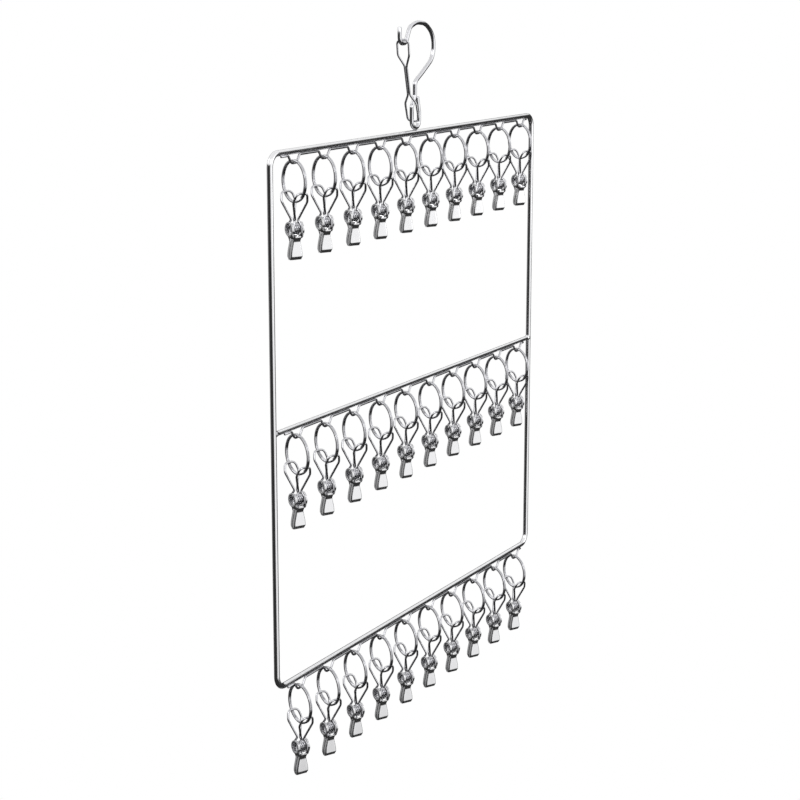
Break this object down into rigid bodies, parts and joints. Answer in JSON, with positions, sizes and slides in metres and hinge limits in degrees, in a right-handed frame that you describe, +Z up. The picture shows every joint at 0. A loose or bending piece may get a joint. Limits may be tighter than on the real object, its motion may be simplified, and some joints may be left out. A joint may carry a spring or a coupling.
{
  "type": "clip drying hanger",
  "caption": "Upright welded wire frame with three rows of spring clips on split rings, hung from a rail by a windproof hook with a wire latch.",
  "frame": {"origin": "the hook's saddle: the inner top of the hook's arc, where a rail carries the hanger", "axes": "+X along the bars, to the right seen from the front; +Y away from the front; +Z up"},
  "size_m": [0.404, 0.0264, 0.513],
  "materials": {
    "frame_steel": "bright satin drawn rod, electropolished",
    "wire_steel": "bright drawn wire",
    "hook_steel": "polished bent wire",
    "ring_steel": "polished spring wire",
    "clip_steel": "tumbled bright stamped sheet with a polished spring wire"
  },
  "bodies": {
    "frame": {"frame_rod": "frame_steel", "crossbar": "frame_steel", "dip_wire_top": "wire_steel", "dip_wire_middle": "wire_steel", "dip_wire_bottom": "wire_steel", "hook": "hook_steel"},
    "latch": {"latch": "wire_steel"},
    "ring_top_01": {"ring_top_01": "ring_steel"},
    "clip_back_top_01": {"clip_back_top_01": "clip_steel"},
    "clip_front_top_01": {"clip_front_top_01": "clip_steel"},
    "ring_top_02": {"ring_top_02": "ring_steel"},
    "clip_back_top_02": {"clip_back_top_02": "clip_steel"},
    "clip_front_top_02": {"clip_front_top_02": "clip_steel"},
    "ring_top_03": {"ring_top_03": "ring_steel"},
    "clip_back_top_03": {"clip_back_top_03": "clip_steel"},
    "clip_front_top_03": {"clip_front_top_03": "clip_steel"},
    "ring_top_04": {"ring_top_04": "ring_steel"},
    "clip_back_top_04": {"clip_back_top_04": "clip_steel"},
    "clip_front_top_04": {"clip_front_top_04": "clip_steel"},
    "ring_top_05": {"ring_top_05": "ring_steel"},
    "clip_back_top_05": {"clip_back_top_05": "clip_steel"},
    "clip_front_top_05": {"clip_front_top_05": "clip_steel"},
    "ring_top_06": {"ring_top_06": "ring_steel"},
    "clip_back_top_06": {"clip_back_top_06": "clip_steel"},
    "clip_front_top_06": {"clip_front_top_06": "clip_steel"},
    "ring_top_07": {"ring_top_07": "ring_steel"},
    "clip_back_top_07": {"clip_back_top_07": "clip_steel"},
    "clip_front_top_07": {"clip_front_top_07": "clip_steel"},
    "ring_top_08": {"ring_top_08": "ring_steel"},
    "clip_back_top_08": {"clip_back_top_08": "clip_steel"},
    "clip_front_top_08": {"clip_front_top_08": "clip_steel"},
    "ring_top_09": {"ring_top_09": "ring_steel"},
    "clip_back_top_09": {"clip_back_top_09": "clip_steel"},
    "clip_front_top_09": {"clip_front_top_09": "clip_steel"},
    "ring_top_10": {"ring_top_10": "ring_steel"},
    "clip_back_top_10": {"clip_back_top_10": "clip_steel"},
    "clip_front_top_10": {"clip_front_top_10": "clip_steel"},
    "ring_and_clip_middle_01": {"ring_and_clip_middle_01": "clip_steel"},
    "ring_and_clip_middle_02": {"ring_and_clip_middle_02": "clip_steel"},
    "ring_and_clip_middle_03": {"ring_and_clip_middle_03": "clip_steel"},
    "ring_and_clip_middle_04": {"ring_and_clip_middle_04": "clip_steel"},
    "ring_and_clip_middle_05": {"ring_and_clip_middle_05": "clip_steel"},
    "ring_and_clip_middle_06": {"ring_and_clip_middle_06": "clip_steel"},
    "ring_and_clip_middle_07": {"ring_and_clip_middle_07": "clip_steel"},
    "ring_and_clip_middle_08": {"ring_and_clip_middle_08": "clip_steel"},
    "ring_and_clip_middle_09": {"ring_and_clip_middle_09": "clip_steel"},
    "ring_and_clip_middle_10": {"ring_and_clip_middle_10": "clip_steel"},
    "ring_and_clip_bottom_01": {"ring_and_clip_bottom_01": "clip_steel"},
    "ring_and_clip_bottom_02": {"ring_and_clip_bottom_02": "clip_steel"},
    "ring_and_clip_bottom_03": {"ring_and_clip_bottom_03": "clip_steel"},
    "ring_and_clip_bottom_04": {"ring_and_clip_bottom_04": "clip_steel"},
    "ring_and_clip_bottom_05": {"ring_and_clip_bottom_05": "clip_steel"},
    "ring_and_clip_bottom_06": {"ring_and_clip_bottom_06": "clip_steel"},
    "ring_and_clip_bottom_07": {"ring_and_clip_bottom_07": "clip_steel"},
    "ring_and_clip_bottom_08": {"ring_and_clip_bottom_08": "clip_steel"},
    "ring_and_clip_bottom_09": {"ring_and_clip_bottom_09": "clip_steel"},
    "ring_and_clip_bottom_10": {"ring_and_clip_bottom_10": "clip_steel"}
  },
  "joints": [
    {"name": "latch_lift", "type": "slide", "parent": "frame", "child": "latch", "axis": [0, 0, 1], "range_m": [0, 0.0085]},
    {"name": "ring_swing_top_01", "type": "hinge", "parent": "frame", "child": "ring_top_01", "pos_m": [-0.1755, -0.001, -0.08439], "axis": [1, 0, 0], "range_deg": [-35, 35]},
    {"name": "clip_swing_top_01", "type": "hinge", "parent": "ring_top_01", "child": "clip_back_top_01", "pos_m": [-0.1755, -0.001, -0.09632], "axis": [0.8988, -0.4384, 0], "range_deg": [-35, 35]},
    {"name": "jaw_open_top_01", "type": "hinge", "parent": "clip_back_top_01", "child": "clip_front_top_01", "pos_m": [-0.1755, -0.001, -0.12752], "axis": [-0.8988, 0.4384, 0], "range_deg": [0, 22], "stiffness_Nm_per_rad": 0.05, "springref_deg": -68.75},
    {"name": "ring_swing_top_02", "type": "hinge", "parent": "frame", "child": "ring_top_02", "pos_m": [-0.1368, -0.001, -0.08439], "axis": [1, 0, 0], "range_deg": [-35, 35]},
    {"name": "clip_swing_top_02", "type": "hinge", "parent": "ring_top_02", "child": "clip_back_top_02", "pos_m": [-0.1368, -0.001, -0.09632], "axis": [0.8988, -0.4384, 0], "range_deg": [-35, 35]},
    {"name": "jaw_open_top_02", "type": "hinge", "parent": "clip_back_top_02", "child": "clip_front_top_02", "pos_m": [-0.1368, -0.001, -0.12752], "axis": [-0.8988, 0.4384, 0], "range_deg": [0, 22], "stiffness_Nm_per_rad": 0.05, "springref_deg": -68.75},
    {"name": "ring_swing_top_03", "type": "hinge", "parent": "frame", "child": "ring_top_03", "pos_m": [-0.0981, -0.001, -0.08439], "axis": [1, 0, 0], "range_deg": [-35, 35]},
    {"name": "clip_swing_top_03", "type": "hinge", "parent": "ring_top_03", "child": "clip_back_top_03", "pos_m": [-0.0981, -0.001, -0.09632], "axis": [0.8988, -0.4384, 0], "range_deg": [-35, 35]},
    {"name": "jaw_open_top_03", "type": "hinge", "parent": "clip_back_top_03", "child": "clip_front_top_03", "pos_m": [-0.0981, -0.001, -0.12752], "axis": [-0.8988, 0.4384, 0], "range_deg": [0, 22], "stiffness_Nm_per_rad": 0.05, "springref_deg": -68.75},
    {"name": "ring_swing_top_04", "type": "hinge", "parent": "frame", "child": "ring_top_04", "pos_m": [-0.0594, -0.001, -0.08439], "axis": [1, 0, 0], "range_deg": [-35, 35]},
    {"name": "clip_swing_top_04", "type": "hinge", "parent": "ring_top_04", "child": "clip_back_top_04", "pos_m": [-0.0594, -0.001, -0.09632], "axis": [0.8988, -0.4384, 0], "range_deg": [-35, 35]},
    {"name": "jaw_open_top_04", "type": "hinge", "parent": "clip_back_top_04", "child": "clip_front_top_04", "pos_m": [-0.0594, -0.001, -0.12752], "axis": [-0.8988, 0.4384, 0], "range_deg": [0, 22], "stiffness_Nm_per_rad": 0.05, "springref_deg": -68.75},
    {"name": "ring_swing_top_05", "type": "hinge", "parent": "frame", "child": "ring_top_05", "pos_m": [-0.0207, -0.001, -0.08439], "axis": [1, 0, 0], "range_deg": [-35, 35]},
    {"name": "clip_swing_top_05", "type": "hinge", "parent": "ring_top_05", "child": "clip_back_top_05", "pos_m": [-0.0207, -0.001, -0.09632], "axis": [0.8988, -0.4384, 0], "range_deg": [-35, 35]},
    {"name": "jaw_open_top_05", "type": "hinge", "parent": "clip_back_top_05", "child": "clip_front_top_05", "pos_m": [-0.0207, -0.001, -0.12752], "axis": [-0.8988, 0.4384, 0], "range_deg": [0, 22], "stiffness_Nm_per_rad": 0.05, "springref_deg": -68.75},
    {"name": "ring_swing_top_06", "type": "hinge", "parent": "frame", "child": "ring_top_06", "pos_m": [0.018, -0.001, -0.08439], "axis": [1, 0, 0], "range_deg": [-35, 35]},
    {"name": "clip_swing_top_06", "type": "hinge", "parent": "ring_top_06", "child": "clip_back_top_06", "pos_m": [0.018, -0.001, -0.09632], "axis": [0.8988, -0.4384, 0], "range_deg": [-35, 35]},
    {"name": "jaw_open_top_06", "type": "hinge", "parent": "clip_back_top_06", "child": "clip_front_top_06", "pos_m": [0.018, -0.001, -0.12752], "axis": [-0.8988, 0.4384, 0], "range_deg": [0, 22], "stiffness_Nm_per_rad": 0.05, "springref_deg": -68.75},
    {"name": "ring_swing_top_07", "type": "hinge", "parent": "frame", "child": "ring_top_07", "pos_m": [0.0567, -0.001, -0.08439], "axis": [1, 0, 0], "range_deg": [-35, 35]},
    {"name": "clip_swing_top_07", "type": "hinge", "parent": "ring_top_07", "child": "clip_back_top_07", "pos_m": [0.0567, -0.001, -0.09632], "axis": [0.8988, -0.4384, 0], "range_deg": [-35, 35]},
    {"name": "jaw_open_top_07", "type": "hinge", "parent": "clip_back_top_07", "child": "clip_front_top_07", "pos_m": [0.0567, -0.001, -0.12752], "axis": [-0.8988, 0.4384, 0], "range_deg": [0, 22], "stiffness_Nm_per_rad": 0.05, "springref_deg": -68.75},
    {"name": "ring_swing_top_08", "type": "hinge", "parent": "frame", "child": "ring_top_08", "pos_m": [0.0954, -0.001, -0.08439], "axis": [1, 0, 0], "range_deg": [-35, 35]},
    {"name": "clip_swing_top_08", "type": "hinge", "parent": "ring_top_08", "child": "clip_back_top_08", "pos_m": [0.0954, -0.001, -0.09632], "axis": [0.8988, -0.4384, 0], "range_deg": [-35, 35]},
    {"name": "jaw_open_top_08", "type": "hinge", "parent": "clip_back_top_08", "child": "clip_front_top_08", "pos_m": [0.0954, -0.001, -0.12752], "axis": [-0.8988, 0.4384, 0], "range_deg": [0, 22], "stiffness_Nm_per_rad": 0.05, "springref_deg": -68.75},
    {"name": "ring_swing_top_09", "type": "hinge", "parent": "frame", "child": "ring_top_09", "pos_m": [0.1341, -0.001, -0.08439], "axis": [1, 0, 0], "range_deg": [-35, 35]},
    {"name": "clip_swing_top_09", "type": "hinge", "parent": "ring_top_09", "child": "clip_back_top_09", "pos_m": [0.1341, -0.001, -0.09632], "axis": [0.8988, -0.4384, 0], "range_deg": [-35, 35]},
    {"name": "jaw_open_top_09", "type": "hinge", "parent": "clip_back_top_09", "child": "clip_front_top_09", "pos_m": [0.1341, -0.001, -0.12752], "axis": [-0.8988, 0.4384, 0], "range_deg": [0, 22], "stiffness_Nm_per_rad": 0.05, "springref_deg": -68.75},
    {"name": "ring_swing_top_10", "type": "hinge", "parent": "frame", "child": "ring_top_10", "pos_m": [0.1728, -0.001, -0.08439], "axis": [1, 0, 0], "range_deg": [-35, 35]},
    {"name": "clip_swing_top_10", "type": "hinge", "parent": "ring_top_10", "child": "clip_back_top_10", "pos_m": [0.1728, -0.001, -0.09632], "axis": [0.8988, -0.4384, 0], "range_deg": [-35, 35]},
    {"name": "jaw_open_top_10", "type": "hinge", "parent": "clip_back_top_10", "child": "clip_front_top_10", "pos_m": [0.1728, -0.001, -0.12752], "axis": [-0.8988, 0.4384, 0], "range_deg": [0, 22], "stiffness_Nm_per_rad": 0.05, "springref_deg": -68.75},
    {"name": "clip_swing_middle_01", "type": "hinge", "parent": "frame", "child": "ring_and_clip_middle_01", "pos_m": [-0.1755, -0.001, -0.26836], "axis": [1, 0, 0], "range_deg": [-35, 35]},
    {"name": "clip_swing_middle_02", "type": "hinge", "parent": "frame", "child": "ring_and_clip_middle_02", "pos_m": [-0.1368, -0.001, -0.26836], "axis": [1, 0, 0], "range_deg": [-35, 35]},
    {"name": "clip_swing_middle_03", "type": "hinge", "parent": "frame", "child": "ring_and_clip_middle_03", "pos_m": [-0.0981, -0.001, -0.26836], "axis": [1, 0, 0], "range_deg": [-35, 35]},
    {"name": "clip_swing_middle_04", "type": "hinge", "parent": "frame", "child": "ring_and_clip_middle_04", "pos_m": [-0.0594, -0.001, -0.26836], "axis": [1, 0, 0], "range_deg": [-35, 35]},
    {"name": "clip_swing_middle_05", "type": "hinge", "parent": "frame", "child": "ring_and_clip_middle_05", "pos_m": [-0.0207, -0.001, -0.26836], "axis": [1, 0, 0], "range_deg": [-35, 35]},
    {"name": "clip_swing_middle_06", "type": "hinge", "parent": "frame", "child": "ring_and_clip_middle_06", "pos_m": [0.018, -0.001, -0.26836], "axis": [1, 0, 0], "range_deg": [-35, 35]},
    {"name": "clip_swing_middle_07", "type": "hinge", "parent": "frame", "child": "ring_and_clip_middle_07", "pos_m": [0.0567, -0.001, -0.26836], "axis": [1, 0, 0], "range_deg": [-35, 35]},
    {"name": "clip_swing_middle_08", "type": "hinge", "parent": "frame", "child": "ring_and_clip_middle_08", "pos_m": [0.0954, -0.001, -0.26836], "axis": [1, 0, 0], "range_deg": [-35, 35]},
    {"name": "clip_swing_middle_09", "type": "hinge", "parent": "frame", "child": "ring_and_clip_middle_09", "pos_m": [0.1341, -0.001, -0.26836], "axis": [1, 0, 0], "range_deg": [-35, 35]},
    {"name": "clip_swing_middle_10", "type": "hinge", "parent": "frame", "child": "ring_and_clip_middle_10", "pos_m": [0.1728, -0.001, -0.26836], "axis": [1, 0, 0], "range_deg": [-35, 35]},
    {"name": "clip_swing_bottom_01", "type": "hinge", "parent": "frame", "child": "ring_and_clip_bottom_01", "pos_m": [-0.1755, -0.001, -0.44639], "axis": [1, 0, 0], "range_deg": [-35, 35]},
    {"name": "clip_swing_bottom_02", "type": "hinge", "parent": "frame", "child": "ring_and_clip_bottom_02", "pos_m": [-0.1368, -0.001, -0.44639], "axis": [1, 0, 0], "range_deg": [-35, 35]},
    {"name": "clip_swing_bottom_03", "type": "hinge", "parent": "frame", "child": "ring_and_clip_bottom_03", "pos_m": [-0.0981, -0.001, -0.44639], "axis": [1, 0, 0], "range_deg": [-35, 35]},
    {"name": "clip_swing_bottom_04", "type": "hinge", "parent": "frame", "child": "ring_and_clip_bottom_04", "pos_m": [-0.0594, -0.001, -0.44639], "axis": [1, 0, 0], "range_deg": [-35, 35]},
    {"name": "clip_swing_bottom_05", "type": "hinge", "parent": "frame", "child": "ring_and_clip_bottom_05", "pos_m": [-0.0207, -0.001, -0.44639], "axis": [1, 0, 0], "range_deg": [-35, 35]},
    {"name": "clip_swing_bottom_06", "type": "hinge", "parent": "frame", "child": "ring_and_clip_bottom_06", "pos_m": [0.018, -0.001, -0.44639], "axis": [1, 0, 0], "range_deg": [-35, 35]},
    {"name": "clip_swing_bottom_07", "type": "hinge", "parent": "frame", "child": "ring_and_clip_bottom_07", "pos_m": [0.0567, -0.001, -0.44639], "axis": [1, 0, 0], "range_deg": [-35, 35]},
    {"name": "clip_swing_bottom_08", "type": "hinge", "parent": "frame", "child": "ring_and_clip_bottom_08", "pos_m": [0.0954, -0.001, -0.44639], "axis": [1, 0, 0], "range_deg": [-35, 35]},
    {"name": "clip_swing_bottom_09", "type": "hinge", "parent": "frame", "child": "ring_and_clip_bottom_09", "pos_m": [0.1341, -0.001, -0.44639], "axis": [1, 0, 0], "range_deg": [-35, 35]},
    {"name": "clip_swing_bottom_10", "type": "hinge", "parent": "frame", "child": "ring_and_clip_bottom_10", "pos_m": [0.1728, -0.001, -0.44639], "axis": [1, 0, 0], "range_deg": [-35, 35]}
  ]
}
